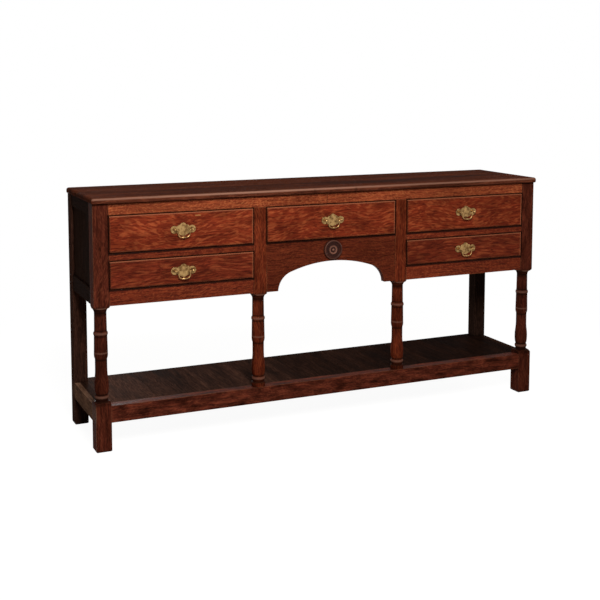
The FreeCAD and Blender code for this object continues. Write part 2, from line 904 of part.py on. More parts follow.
for side in sides:
    name = f"{side_name(side)}_rear_leg"
    half = dim.rear_leg_width / 2
    body, stock = square_stock(
        f"{name}_stock", side * (at.side - half), at.back - half, 0, at.top_underside, dim.rear_leg_width
    )
    dress(body, "Chamfer", stock, "Size", dim.foot_chamfer, lambda middle, edge: near(middle.z, 0))
    keep(cut(name, body, mortises[name]))


# Top board: two planks with a rounded nosing on the front and the ends
def make_top_plank(name, y, has_front):
    body = new_body(name, 0, 0, at.top_underside)
    end = at.side + dim.top_end_overhang
    plan = new_sketch(body, f"{name}_plan", "XY_Plane")
    outline(plan, rectangle((-end, end), y))
    shape = pad(body, plan, dim.top_thickness)
    front_edge = as_length(y[0]).value
    back_edge = as_length(y[1]).value

    def is_nosing(middle, height):
        joint = near(middle.y, back_edge) or (near(middle.y, front_edge) and not has_front)
        return near(middle.z, height) and not joint

    if has_front:
        shape = dress(
            body, "Fillet", shape, "Radius", dim.top_corner_radius,
            lambda middle, edge: near(middle.y, front_edge) and near(middle.z, dim.top_thickness / 2),
        )
    levels = ((at.top_underside + dim.top_thickness, dim.nosing_radius), (at.top_underside, dim.nosing_lower_radius))
    for level, radius in levels:
        height = (level - at.top_underside).value
        shape = dress(body, "Fillet", shape, "Radius", radius, lambda middle, edge: is_nosing(middle, height))
    return keep(body)


top_front = at.front - dim.top_front_overhang
top_joint = top_front + dim.top_front_plank_width
make_top_plank("top_front_plank", (top_front, top_joint), True)
make_top_plank("top_rear_plank", (top_joint + dim.top_plank_gap, at.back), False)


# Drawers
def make_drawer(name, centre, sill, head, pull_rise):
    centre = as_length(centre)
    half = at.opening_width / 2 - dim.drawer_side_gap
    front_z = (sill + dim.drawer_bottom_gap, head - dim.drawer_top_gap)
    side_z = (sill + dim.drawer_running_gap, head - dim.drawer_top_gap - dim.drawer_side_drop)
    front_back = at.face + dim.drawer_front_thickness
    rear = at.back_rail_front - dim.drawer_back_clearance
    pull_z = (front_z[0] + front_z[1]) / 2 + pull_rise
    inner_half = half - dim.drawer_side_thickness
    bottom_z = side_z[0] + dim.drawer_bottom_rise
    board_z = (bottom_z, bottom_z + dim.drawer_bottom_thickness)
    board_half = inner_half + dim.drawer_groove_depth
    board_front = front_back - dim.drawer_groove_depth

    groove = box(
        f"{name}_groove",
        grown((centre - board_half, centre + board_half), dim.drawer_groove_clearance),
        (board_front - dim.drawer_groove_clearance, rear + dim.drawer_groove_clearance),
        grown(board_z, dim.drawer_groove_clearance),
    )

    # Sides, dovetailed into the front
    side_height = side_z[1] - side_z[0]
    count = max(1, round((side_height / dim.tail_spacing).value))
    pitch = side_height / count
    tails = []
    drawer_sides = []
    for side in sides:
        x = sided(side, inner_half, half)
        x = (centre + x[0], centre + x[1])
        own_tails = []
        for index in range(count):
            low = side_z[0] + pitch * index + dim.pin_width / 2
            high = side_z[0] + pitch * (index + 1) - dim.pin_width / 2
            tail = doc.addObject("Part::Wedge", f"{name}_tail")
            limits = {
                "Xmin": x[0], "Xmax": x[1], "X2min": x[0], "X2max": x[1],
                "Ymin": front_back - dim.tail_length, "Ymax": front_back,
                "Zmin": low, "Zmax": high, "Z2min": low + dim.tail_taper, "Z2max": high - dim.tail_taper,
            }
            for limit, length in limits.items():
                bind(tail, limit, length)
            own_tails.append(tail)
        board = box(f"{name}_side_board", x, (front_back, rear), side_z)
        blank = fuse(f"{name}_{side_name(side)}_side_blank", [board] + own_tails)
        drawer_sides.append(cut(f"{name}_{side_name(side)}_side", blank, [groove]))
        tails += own_tails

    # Front with a raised bead round its edge
    body = new_body(f"{name}_front_panel", centre, at.face, 0)
    face = new_sketch(body, f"{name}_face", "XZ_Plane")
    outline(face, rectangle((-half, half), front_z))
    pad(body, face, dim.drawer_front_thickness, backward=True)
    rim = new_sketch(body, f"{name}_rim", "XZ_Plane")
    outline(rim, rectangle((-half, half), front_z))
    inside_x = (dim.bead_width - half, half - dim.bead_width)
    outline(rim, rectangle(inside_x, grown(front_z, -1 * dim.bead_width)))
    bead = pad(body, rim, dim.bead_height)
    bead_face = (at.face - dim.bead_height).value
    dress(
        body, "Fillet", bead, "Radius", dim.bead_rounding,
        lambda middle, edge: near(middle.y, bead_face - at.face.value),
    )
    holes = []
    for side in sides:
        holes.append(rod(
            f"{name}_bolt_hole",
            dim.bolt_radius + dim.bolt_clearance,
            dim.drawer_front_thickness,
            centre + side * dim.pull_spacing / 2,
            at.face,
            pull_z,
            FreeCAD.Vector(0, 1, 0),
        ))
    keep(cut(f"{name}_front", body, tails + [groove] + holes))
    keep(group(f"{name}_sides", drawer_sides))
    keep(box(
        f"{name}_back",
        (centre - inner_half, centre + inner_half),
        (rear - dim.drawer_back_thickness, rear),
        (board_z[1], side_z[1] - dim.drawer_back_drop),
    ))
    keep(box(f"{name}_bottom", (centre - board_half, centre + board_half), (board_front, rear), board_z))
    make_pull(name, centre, pull_z)


# Bat-wing pulls
def plate_points():
    half = [
        (0, dim.plate_top, dim.plate_ear_bulge),
        (dim.plate_ear_half_width, dim.plate_ear_height, dim.plate_lobe_bulge),
        (dim.plate_wing_root, dim.plate_wing_root_height, dim.plate_wing_reach),
        (dim.plate_wing_root, -dim.plate_wing_root_height, dim.plate_lobe_bulge),
        (dim.plate_foot_half_width, -dim.plate_foot_height, dim.plate_ear_bulge),
    ]
    lowest = (0, -dim.plate_bottom)
    other_half = []
    for (x, y, bulge), following in zip(half[::-1], [lowest] + half[:0:-1]):
        other_half.append((-as_length(following[0]), following[1], bulge))
    return half + other_half


def make_pull(name, centre, height):
    spread = dim.pull_spacing / 2
    plate_front = at.face - dim.plate_thickness

    plate = new_body(f"{name}_pull_plate", centre, at.face, height)
    shape = new_sketch(plate, f"{name}_plate_outline", "XZ_Plane")
    outline(shape, plate_points())
    for side in sides:
        circle(shape, side * spread, 0, dim.bolt_radius + dim.bolt_clearance)
    pad(plate, shape, dim.plate_thickness)
    keep(plate)

    pieces = []
    for side in sides:
        word = side_name(side)
        post = new_body(f"{name}_{word}_post_turning", centre + side * spread, plate_front, height)
        profile = new_sketch(post, f"{name}_{word}_post_profile", "XY_Plane")
        head_front = -1 * dim.head_reach - dim.head_radius
        head_back = root(dim.head_radius * dim.head_radius - dim.stem_radius * dim.stem_radius) - dim.head_reach
        half_chord_squared = (dim.stem_radius * dim.stem_radius + (head_back - head_front) * (head_back - head_front)) / 4
        head_bulge = dim.head_radius - root(dim.head_radius * dim.head_radius - half_chord_squared)
        bolt_end = dim.plate_thickness + dim.drawer_front_thickness + dim.nut_thickness + dim.bolt_tail
        points = [
            (0, bolt_end),
            (0, head_front, -head_bulge),
            (dim.stem_radius, head_back),
            (dim.stem_radius, -dim.flange_thickness),
            (dim.flange_radius, -dim.flange_thickness),
            (dim.flange_radius, 0),
            (dim.bolt_radius, 0),
            (dim.bolt_radius, bolt_end),
        ]
        outline(profile, points)
        turn(post, profile, "Revolution")
        eye = rod(
            f"{name}_{word}_eye",
            dim.bail_radius + dim.bail_pin_clearance,
            dim.head_radius + dim.bail_pin_depth + dim.bail_pin_end_gap,
            centre + side * (spread - dim.head_radius),
            at.bail_axis,
            height,
            FreeCAD.Vector(side, 0, 0),
        )
        pieces.append(cut(f"{name}_{word}_post", post, [eye]))
        nut = doc.addObject("Part::Prism", f"{name}_{word}_nut_blank")
        nut.Polygon = 6
        bind(nut, "Circumradius", dim.nut_radius)
        bind(nut, "Height", dim.nut_thickness)
        nut.Placement = FreeCAD.Placement(
            FreeCAD.Vector(), FreeCAD.Rotation(FreeCAD.Vector(0, 0, 1), FreeCAD.Vector(0, 1, 0))
        )
        nut_y = at.face + dim.drawer_front_thickness
        put(nut, centre + side * spread, nut_y, height)
        bore = rod(
            f"{name}_{word}_nut_bore",
            dim.bolt_radius + dim.bail_pin_clearance,
            dim.nut_thickness,
            centre + side * spread,
            nut_y,
            height,
            FreeCAD.Vector(0, 1, 0),
        )
        pieces.append(cut(f"{name}_{word}_nut", nut, [bore]))
    keep(group(f"{name}_pull_posts", pieces))
    make_bail(f"{name}_bail", centre, height, spread)


def make_bail(name, centre, height, spread):
    body = new_body(name, centre, at.bail_axis, height)
    tip = spread + dim.bail_pin_depth
    neck = dim.bail_neck_radius
    corner = dim.bail_corner_radius
    width = dim.bail_half_width
    quarter = 1 - math.sqrt(0.5)
    right = [
        (tip, 0),
        (width + neck, 0, -neck * quarter),
        (width, -neck),
        (width, corner - dim.bail_drop, corner * quarter),
        (width - corner, -dim.bail_drop),
    ]
    left = [
        (corner - width, -dim.bail_drop, corner * quarter),
        (-width, corner - dim.bail_drop),
        (-width, -neck, -neck * quarter),
        (-width - neck, 0),
        (-tip, 0),
    ]
    path = new_sketch(body, f"{name}_path", "XZ_Plane")
    outline(path, right + left, closed=False)
    section = new_sketch(body, f"{name}_section", "YZ_Plane")
    bind(section, "AttachmentOffset.Base.z", tip)
    circle(section, 0, 0, dim.bail_radius)
    doc.recompute()
    sweep = body.newObject("PartDesign::AdditivePipe", f"{name}_sweep")
    sweep.Profile = section
    sweep.Spine = (path, [f"Edge{number}" for number in range(1, len(right + left))])
    grip = new_sketch(body, f"{name}_grip_profile", "XZ_Plane")
    reach = width - corner
    points = [
        (-reach, -dim.bail_drop),
        (-reach, dim.bail_radius - dim.bail_drop, dim.bail_grip_bulge),
        (reach, dim.bail_radius - dim.bail_drop),
        (reach, -dim.bail_drop),
    ]
    outline(grip, points)
    doc.recompute()
    swell = body.newObject("PartDesign::Revolution", f"{name}_grip")
    swell.Profile = grip
    swell.ReferenceAxis = (grip, ["Edge4"])
    swell.Angle = 360
    return keep(body)


for side in sides:
    word = side_name(side)
    middle = side * at.bank_centre
    make_drawer(f"{word}_upper_drawer", middle, at.upper_sill, at.upper_head, dim.upper_pull_rise)
    make_drawer(f"{word}_lower_drawer", middle, at.lower_sill, at.lower_head, dim.lower_pull_rise)
make_drawer("centre_drawer", 0, at.upper_sill, at.upper_head, dim.upper_pull_rise)

# Every object is sound before anything is written
doc.recompute()
for item in doc.Objects:
    if "Invalid" in item.State or "Error" in item.State:
        raise RuntimeError(f"{item.Label} failed: {item.State}")
for made in subparts:
    if made.Shape.isNull() or not made.Shape.isValid():
        raise RuntimeError(f"{made.Label} has no sound shape")

os.makedirs("parts", exist_ok=True)
for made in subparts:
    made.Shape.exportStep(f"parts/{made.Label}.step")
print(len(subparts), "sub-parts,", sum(len(made.Shape.Solids) for made in subparts), "solids")
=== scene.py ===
import math
import bpy
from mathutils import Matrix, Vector


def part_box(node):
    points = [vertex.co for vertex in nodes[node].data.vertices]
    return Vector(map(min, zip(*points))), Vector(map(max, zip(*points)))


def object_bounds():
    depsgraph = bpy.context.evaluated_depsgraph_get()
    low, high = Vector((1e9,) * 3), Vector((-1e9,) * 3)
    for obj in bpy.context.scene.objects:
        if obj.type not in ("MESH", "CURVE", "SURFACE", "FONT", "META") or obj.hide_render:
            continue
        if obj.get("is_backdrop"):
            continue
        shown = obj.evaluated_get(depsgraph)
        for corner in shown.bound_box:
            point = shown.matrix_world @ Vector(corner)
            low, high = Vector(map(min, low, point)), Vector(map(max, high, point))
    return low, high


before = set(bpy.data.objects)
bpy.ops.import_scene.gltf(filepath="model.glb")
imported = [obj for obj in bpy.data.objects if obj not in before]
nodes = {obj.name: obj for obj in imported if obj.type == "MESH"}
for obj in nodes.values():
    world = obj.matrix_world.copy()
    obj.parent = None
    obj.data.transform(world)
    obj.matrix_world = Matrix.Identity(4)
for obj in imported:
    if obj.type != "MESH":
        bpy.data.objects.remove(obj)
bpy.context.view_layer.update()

# Dresser base in stained oak with brass pulls
# Metres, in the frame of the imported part: x right, y back, z up
print("frame loaded:", len(nodes), "nodes")


def linearColour(hexText):
    channels = [int(hexText[i:i + 2], 16) / 255 for i in (1, 3, 5)]
    return tuple(c / 12.92 if c <= 0.04045 else ((c + 0.055) / 1.055) ** 2.4 for c in channels) + (1.0,)


def addNode(tree, kind, settings=None, inputs=None):
    # settings are the node's own properties; inputs are values, or sockets that feed it
    node = tree.nodes.new("ShaderNode" + kind)
    for name, value in (settings or {}).items():
        setattr(node, name, value)
    for key, value in (inputs or {}).items():
        if isinstance(value, bpy.types.NodeSocket):
            tree.links.new(value, node.inputs[key])
        else:
            node.inputs[key].default_value = value
    return node


def newMaterial(name):
    material = bpy.data.materials.new(name)
    material.use_nodes = True
    material.node_tree.nodes.clear()
    return material, material.node_tree


multiply = {"operation": "MULTIPLY"}
maximum = {"operation": "MAXIMUM"}
sized = {"vector_type": "TEXTURE"}     # a Mapping whose scale is the size of the feature
colourMix = {"data_type": "RGBA"}      # its inputs are 0 factor, 6 and 7 colours; its output is 2
beyond = 9.0                           # metres, well past the part


# Marks on the wood: boxes in the object's own space, soft at their faces, open on an axis given as None
def paintBoxes(tree, place, colour, boxes):
    axes = addNode(tree, "SeparateXYZ", inputs={"Vector": place}).outputs
    for box in boxes:
        mask = box["share"]
        for axis, span, soft in zip(axes, box["spans"], box["soft"]):
            if span is None:
                continue
            low, high = span
            rise = addNode(tree, "MapRange", inputs={
                "Value": axis, "From Min": low - soft, "From Max": low + soft})
            fall = addNode(tree, "MapRange", inputs={
                "Value": axis, "From Min": high + soft, "From Max": high - soft})
            both = addNode(tree, "Math", multiply, {0: rise.outputs[0], 1: fall.outputs[0]})
            mask = addNode(tree, "Math", multiply, {0: both.outputs[0], 1: mask}).outputs[0]
        blend = {**colourMix, "blend_type": box.get("blend", "MIX")}
        paint = linearColour(box["paint"])
        colour = addNode(tree, "Mix", blend, {0: mask, 6: colour, 7: paint}).outputs[2]
    return colour


# Marks on turned work that faces the front: rings round one centre
def paintRings(tree, place, colour, rings):
    axes = addNode(tree, "SeparateXYZ", inputs={"Vector": place}).outputs
    flat = addNode(tree, "CombineXYZ", inputs={"X": axes[0], "Z": axes[2]}).outputs[0]
    away = addNode(tree, "VectorMath", {"operation": "DISTANCE"}, {0: flat, 1: rings["centre"]})
    soft = rings["soft"]
    for inner, outer, share, paint in rings["bands"]:
        rise = addNode(tree, "MapRange", inputs={
            "Value": away.outputs["Value"], "From Min": inner - soft, "From Max": inner + soft})
        fall = addNode(tree, "MapRange", inputs={
            "Value": away.outputs["Value"], "From Min": outer + soft, "From Max": outer - soft,
            "To Max": share})
        mask = addNode(tree, "Math", multiply, {0: rise.outputs[0], 1: fall.outputs[0]}).outputs[0]
        colour = addNode(tree, "Mix", colourMix, {0: mask, 6: colour, 7: linearColour(paint)}).outputs[2]
    return colour


# The oak's figure: sizes in metres, shares from 0 to 1, and spans of a noise from none of it to all of it
oakFigure = {
    "grainLength": 0.11, "grainWidth": 0.0034,     # early and late wood lines
    "fineLength": 0.05, "fineWidth": 0.0013, "fineShare": 0.4,
    "darkAt": 0.38, "midAt": 0.5, "lightAt": 0.62,
    "poreLength": 0.014, "poreWidth": 0.0012,      # real pores are 0.3 mm wide, drawn coarser to show
    "poreSpan": (0.30, 0.44), "poreShare": 0.40,
    "fleckArea": (0.22, 0.16),                     # which way the ray flecks lean changes from area to area
    "leanSpan": (0.42, 0.58), "fleckSpan": (0.50, 0.66),
    "waveSize": 0.11, "waveDepth": 0.011,          # bend of the grain
    "stainSpan": (0.32, 0.68), "boardTones": (0.72, 1.3),
    "wearRadius": 0.0030, "arrisSpan": (0.985, 0.86),
    "rubLength": 0.05, "rubWidth": 0.02, "rubSpan": (0.38, 0.62), "leastRub": 0.15,   # arrises rub unevenly
    # dark wax and dust in the corners, with painted shade there too
    "dustAndShadeReach": 0.016, "dustAndShadeSpan": (0.35, 0.85), "dustAndShadeShare": 0.8,
    "samples": 6, "grainHeight": 0.6, "poreHeight": -0.8, "bumpStrength": 0.35, "bumpDepth": 0.0006,
    "roughSpan": (0.3, 0.7), "smoother": 0.06, "rougher": 0.08, "ior": 1.5,
}
plainOak = {
    "fleck": 0.35, "rays": (0.070, 0.0036), "tilt": 24.0,     # ray flecks: share, size, degrees off grain
    "wear": 0.5, "rough": 0.5, "gloss": 0.04,
    "patch": (0.30, 0.10), "tone": (0.75, 1.2),     # uneven stain: size of a patch, its darkest and lightest
    "boards": None,     # boards, each of its own tone: the axis that crosses them, start, width
    "boxes": (), "rings": None,
}


# Quarter-sawn oak, planed, stained red-brown and waxed for centuries: straight grain, open pores, paler ray
# flecks across it, light arrises where the stain has rubbed off, and dark wax and dust in every corner, with
# painted shade there too
def oakMaterial(name, axis, colours, **changes):
    finish = {**plainOak, **changes}
    paints = {part: linearColour(paint) for part, paint in colours.items()}
    material, tree = newMaterial(name)
    quarter = math.pi / 2
    tilt = math.radians(finish["tilt"])
    along = {"x": (0, 0, 0), "y": (0, 0, quarter), "z": (0, -quarter, 0)}[axis]
    fleckUp = {
        "x": (0, -tilt, tilt), "y": (0, -tilt, quarter - tilt), "z": (0, tilt - quarter, tilt)}[axis]
    fleckDown = {
        "x": (0, tilt, -tilt), "y": (0, tilt, quarter + tilt), "z": (0, -tilt - quarter, -tilt)}[axis]
    place = addNode(tree, "TexCoord").outputs["Object"]

    # the grain bends a little, so its layers read a place that wanders
    waveScale = (oakFigure["waveSize"],) * 3
    spot = addNode(tree, "Mapping", sized, {"Vector": place, "Scale": waveScale})
    wave = addNode(tree, "TexNoise", inputs={"Vector": spot.outputs[0], "Scale": 1.0, "Detail": 1.0})
    middle = addNode(tree, "VectorMath", {"operation": "SUBTRACT"}, {
        0: wave.outputs["Color"], 1: (0.5, 0.5, 0.5)})
    bend = addNode(tree, "VectorMath", {"operation": "SCALE"}, {
        0: middle.outputs[0], "Scale": oakFigure["waveDepth"] * 2})
    bent = addNode(tree, "VectorMath", {"operation": "ADD"}, {0: place, 1: bend.outputs[0]}).outputs[0]
    layers = {     # length, width, turn, detail, and the place that it reads
        "grain": (oakFigure["grainLength"], oakFigure["grainWidth"], along, 2.0, bent),
        "fine": (oakFigure["fineLength"], oakFigure["fineWidth"], along, 1.0, bent),
        "pores": (oakFigure["poreLength"], oakFigure["poreWidth"], along, 0.0, bent),
        "fleckUp": (*finish["rays"], fleckUp, 1.0, bent),
        "fleckDown": (*finish["rays"], fleckDown, 1.0, bent),
        "fleckArea": (*oakFigure["fleckArea"], along, 0.0, place),
        "patches": (*finish["patch"], along, 2.0, place),
        "rubbing": (oakFigure["rubLength"], oakFigure["rubWidth"], along, 2.0, place),
    }
    figure = {}
    for layer, (length, width, turn, detail, source) in layers.items():
        spot = addNode(tree, "Mapping", sized, {
            "Vector": source, "Rotation": turn, "Scale": (length, width, width)})
        noise = addNode(tree, "TexNoise", inputs={
            "Vector": spot.outputs[0], "Scale": 1.0, "Detail": detail})
        figure[layer] = noise.outputs["Fac"]

    # rings of the tree, ray flecks, pores
    lines = addNode(tree, "Mix", inputs={0: oakFigure["fineShare"], 2: figure["grain"], 3: figure["fine"]})
    ramp = addNode(tree, "ValToRGB", inputs={"Fac": lines.outputs[0]})
    stops = ramp.color_ramp.elements
    stops[0].position = oakFigure["darkAt"]
    stops[0].color = paints["dark"]
    stops[1].position = oakFigure["lightAt"]
    stops[1].color = paints["light"]
    stops.new(oakFigure["midAt"]).color = paints["mid"]
    noneAt, fullAt = oakFigure["leanSpan"]
    lean = addNode(tree, "MapRange", inputs={
        "Value": figure["fleckArea"], "From Min": noneAt, "From Max": fullAt})
    rays = addNode(tree, "Mix", inputs={0: lean.outputs[0], 2: figure["fleckUp"], 3: figure["fleckDown"]})
    noneAt, fullAt = oakFigure["fleckSpan"]
    rayMask = addNode(tree, "MapRange", inputs={
        "Value": rays.outputs[0], "From Min": noneAt, "From Max": fullAt,
        "To Max": finish["fleck"]}).outputs[0]
    colour = addNode(tree, "Mix", colourMix, {
        0: rayMask, 6: ramp.outputs["Color"], 7: paints["fleck"]}).outputs[2]
    fullAt, noneAt = oakFigure["poreSpan"]
    poreMask = addNode(tree, "MapRange", inputs={
        "Value": figure["pores"], "From Min": fullAt, "From Max": noneAt,
        "To Min": oakFigure["poreShare"], "To Max": 0.0}).outputs[0]
    colour = addNode(tree, "Mix", colourMix, {0: poreMask, 6: colour, 7: paints["pore"]}).outputs[2]

    # uneven stain, and boards from different trees
    noneAt, fullAt = oakFigure["stainSpan"]
    toneLow, toneHigh = finish["tone"]
    tone = addNode(tree, "MapRange", inputs={
        "Value": figure["patches"], "From Min": noneAt, "From Max": fullAt,
        "To Min": toneLow, "To Max": toneHigh}).outputs[0]
    if finish["boards"]:
        crossing, start, width = finish["boards"]
        across = addNode(tree, "SeparateXYZ", inputs={"Vector": place}).outputs[crossing]
        count = addNode(tree, "MapRange", {"clamp": False}, {
            "Value": across, "From Min": start, "From Max": start + width})
        board = addNode(tree, "Math", {"operation": "FLOOR"}, {0: count.outputs[0]})
        chance = addNode(tree, "TexWhiteNoise", {"noise_dimensions": "1D"}, {"W": board.outputs[0]})
        darkest, lightest = oakFigure["boardTones"]
        own = addNode(tree, "MapRange", inputs={
            "Value": chance.outputs["Value"], "To Min": darkest, "To Max": lightest})
        tone = addNode(tree, "Math", multiply, {0: tone, 1: own.outputs[0]}).outputs[0]
    colour = addNode(tree, "HueSaturation", inputs={"Color": colour, "Value": tone}).outputs["Color"]

    # rubbed arrises: where the rounded normal leaves the true one
    samples = {"samples": oakFigure["samples"]}
    rounded = addNode(tree, "Bevel", samples, {"Radius": oakFigure["wearRadius"]}).outputs["Normal"]
    flat = addNode(tree, "NewGeometry").outputs["True Normal"]
    turned = addNode(tree, "VectorMath", {"operation": "DOT_PRODUCT"}, {0: rounded, 1: flat})
    noneAt, fullAt = oakFigure["arrisSpan"]
    arris = addNode(tree, "MapRange", inputs={
        "Value": turned.outputs["Value"], "From Min": noneAt, "From Max": fullAt})
    noneAt, fullAt = oakFigure["rubSpan"]
    rubbedAndHighlit = addNode(tree, "MapRange", inputs={
        "Value": figure["rubbing"], "From Min": noneAt, "From Max": fullAt,
        "To Min": oakFigure["leastRub"], "To Max": finish["wear"]})
    wearMask = addNode(tree, "Math", multiply, {0: arris.outputs[0], 1: rubbedAndHighlit.outputs[0]}).outputs[0]
    colour = addNode(tree, "Mix", colourMix, {0: wearMask, 6: colour, 7: paints["worn"]}).outputs[2]
    # old wax and dust in the corners, darkened further there as painted shade
    hollow = addNode(tree, "AmbientOcclusion", samples, {"Distance": oakFigure["dustAndShadeReach"]})
    fullAt, noneAt = oakFigure["dustAndShadeSpan"]
    dustAndShadeMask = addNode(tree, "MapRange", inputs={
        "Value": hollow.outputs["AO"], "From Min": fullAt, "From Max": noneAt,
        "To Min": oakFigure["dustAndShadeShare"], "To Max": 0.0}).outputs[0]
    colour = addNode(tree, "Mix", colourMix, {0: dustAndShadeMask, 6: colour, 7: paints["dustAndShade"]}).outputs[2]
    if finish["boxes"]:
        colour = paintBoxes(tree, place, colour, finish["boxes"])
    if finish["rings"]:
        colour = paintRings(tree, place, colour, finish["rings"])

    raised = addNode(tree, "Math", multiply, {0: figure["grain"], 1: oakFigure["grainHeight"]}).outputs[0]
    height = addNode(tree, "Math", {"operation": "MULTIPLY_ADD"}, {
        0: poreMask, 1: oakFigure["poreHeight"], 2: raised}).outputs[0]
    bump = addNode(tree, "Bump", inputs={
        "Height": height, "Strength": oakFigure["bumpStrength"], "Distance": oakFigure["bumpDepth"]})
    noneAt, fullAt = oakFigure["roughSpan"]
    roughness = addNode(tree, "MapRange", inputs={
        "Value": figure["patches"], "From Min": noneAt, "From Max": fullAt,
        "To Min": finish["rough"] - oakFigure["smoother"], "To Max": finish["rough"] + oakFigure["rougher"]})
    shader = addNode(tree, "BsdfPrincipled", inputs={
        "Base Color": colour, "Roughness": roughness.outputs[0], "Normal": bump.outputs["Normal"],
        "IOR": oakFigure["ior"], "Specular IOR Level": finish["gloss"]})
    addNode(tree, "OutputMaterial", inputs={"Surface": shader.outputs["BSDF"]})
    return material


# Stain colours by piece, lightest on the drawer fronts, darkest on the ends and the potboard; the
# differences are partly painted shade, most on the ends and rear legs, and the last colour of each is dust
# and painted shade in corners
stains = {
    "front": {"dark": "#52190c", "mid": "#702714", "light": "#88381d", "fleck": "#aa5630",
              "pore": "#38120a", "worn": "#b57a4e", "dustAndShade": "#1a0a06"},
    "lower": {"dark": "#46160b", "mid": "#602112", "light": "#77301a", "fleck": "#964a2a",
              "pore": "#311009", "worn": "#ad6f45", "dustAndShade": "#180906"},
    "crossRail": {"dark": "#48180d", "mid": "#662515", "light": "#80361d", "fleck": "#a1522f",
                  "pore": "#311009", "worn": "#ad6f45", "dustAndShade": "#180906"},
    "rail": {"dark": "#5e2411", "mid": "#823921", "light": "#9f4e2b", "fleck": "#b8693d",
             "pore": "#3a160b", "worn": "#b0764c", "dustAndShade": "#190a06"},
    "apron": {"dark": "#3c150a", "mid": "#521f12", "light": "#672b17", "fleck": "#7c3d21",
              "pore": "#280e09", "worn": "#8f5a3c", "dustAndShade": "#140806"},
    "muntin": {"dark": "#42170c", "mid": "#5b2213", "light": "#732f18", "fleck": "#8b4526",
               "pore": "#2b0f09", "worn": "#98603f", "dustAndShade": "#140806"},
    "stile": {"dark": "#33140c", "mid": "#491e14", "light": "#5d2a1b", "fleck": "#713a26",
              "pore": "#200c08", "worn": "#86563b", "dustAndShade": "#110705"},
    "boss": {"dark": "#26100a", "mid": "#34160e", "light": "#421d13", "fleck": "#4e281b",
             "pore": "#1c0a07", "worn": "#7c5342", "dustAndShade": "#0d0504"},
    "top": {"dark": "#34170e", "mid": "#4c2417", "light": "#633422", "fleck": "#71402c",
            "pore": "#26110b", "worn": "#b98767", "dustAndShade": "#1a0d09"},
    # the ends: the oak darkened as painted shade
    "end": {"dark": "#1c110c", "mid": "#2a1a14", "light": "#36241c", "fleck": "#412d23",
            "pore": "#140c09", "worn": "#553d2f", "dustAndShade": "#0a0605"},
    # the rear legs: darkened as painted shade
    "rearLeg": {"dark": "#2c1a13", "mid": "#42281f", "light": "#553529", "fleck": "#634234",
                "pore": "#1d100b", "worn": "#6f4d3b", "dustAndShade": "#0f0806"},
    "potboardEnd": {"dark": "#553a2c", "mid": "#7b5843", "light": "#967058", "fleck": "#a37e66",
                    "pore": "#3b281e", "worn": "#a07e66", "dustAndShade": "#1c120d"},
    "potboard": {"dark": "#281812", "mid": "#3f281f", "light": "#54382c", "fleck": "#624335",
                 "pore": "#1e120e", "worn": "#78523b", "dustAndShade": "#110907"},
    "inner": {"dark": "#4d311f", "mid": "#68442b", "light": "#7f5637", "fleck": "#8b6140",
              "pore": "#342116", "worn": "#906d4b", "dustAndShade": "#20140d"},
    "lining": {"dark": "#7e5634", "mid": "#9c6f45", "light": "#b28457", "fleck": "#bd9164",
               "pore": "#5c4028", "worn": "#c09b70", "dustAndShade": "#3b2718"},
}

# The long front edge of the top: painted highlight on its rounded nose, most left of the middle, and two
# dark bruises
topEdgeHighlightAndBruises = {
    "reach": 0.0070, "below": (0.0065, 0.0010), "soft": (0, 0.003, 0.002), "share": 0.42, "highlight": "#b5866f",
    "middle": (-0.55, 0.05), "middleSoft": (0.20, 0.003, 0.002), "middleShare": 0.30,
    "bruises": (-0.075, 0.085), "bruiseHalf": 0.004, "bruiseReach": 0.0090, "bruiseBelow": 0.005,
    "bruiseSoft": (0.004, 0.004, 0.004), "bruiseShare": 0.6, "bruise": "#26110b",
}
noseLow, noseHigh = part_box("top_front_plank")
nose = (-beyond, noseLow[1] + topEdgeHighlightAndBruises["reach"])
rubbedAndHighlit = (noseHigh[2] - topEdgeHighlightAndBruises["below"][0], noseHigh[2] - topEdgeHighlightAndBruises["below"][1])
# the painted highlight on the nose, then the dark bruises
topHighlightAndBruiseMarks = [
    {"spans": (None, nose, rubbedAndHighlit), "soft": topEdgeHighlightAndBruises["soft"],
     "share": topEdgeHighlightAndBruises["share"], "paint": topEdgeHighlightAndBruises["highlight"]},
    {"spans": (topEdgeHighlightAndBruises["middle"], nose, rubbedAndHighlit), "soft": topEdgeHighlightAndBruises["middleSoft"],
     "share": topEdgeHighlightAndBruises["middleShare"], "paint": topEdgeHighlightAndBruises["highlight"]},
]
bruised = (-beyond, noseLow[1] + topEdgeHighlightAndBruises["bruiseReach"])
for middle in topEdgeHighlightAndBruises["bruises"]:
    width = (middle - topEdgeHighlightAndBruises["bruiseHalf"], middle + topEdgeHighlightAndBruises["bruiseHalf"])
    topHighlightAndBruiseMarks.append({"spans": (width, bruised, (noseLow[2], noseHigh[2] - topEdgeHighlightAndBruises["bruiseBelow"])),
                     "soft": topEdgeHighlightAndBruises["bruiseSoft"],
                     "share": topEdgeHighlightAndBruises["bruiseShare"], "paint": topEdgeHighlightAndBruises["bruise"]})

# A drying crack down the top rail, left of the middle
railCrack = {
    "spans": ((-0.0228, -0.0212), None, None), "soft": (0.0008, 0, 0), "share": 0.85, "paint": "#190a06",
}

# A short pale scratch near the top of the left upper drawer, placed from its top left corner
scratch = {
    "along": (0.291, 0.311), "below": (0.0135, 0.0105), "soft": 0.0018, "share": 0.7, "paint": "#c78a4f",
}
scratchLow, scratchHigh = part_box("left_upper_drawer_front")
scratchAlong = tuple(scratchLow[0] + step for step in scratch["along"])
scratchRise = tuple(scratchHigh[2] - step for step in scratch["below"])
drawerScratch = {
    "spans": (scratchAlong, None, scratchRise), "soft": (scratch["soft"], 0, scratch["soft"]),
    "share": scratch["share"], "paint": scratch["paint"],
}

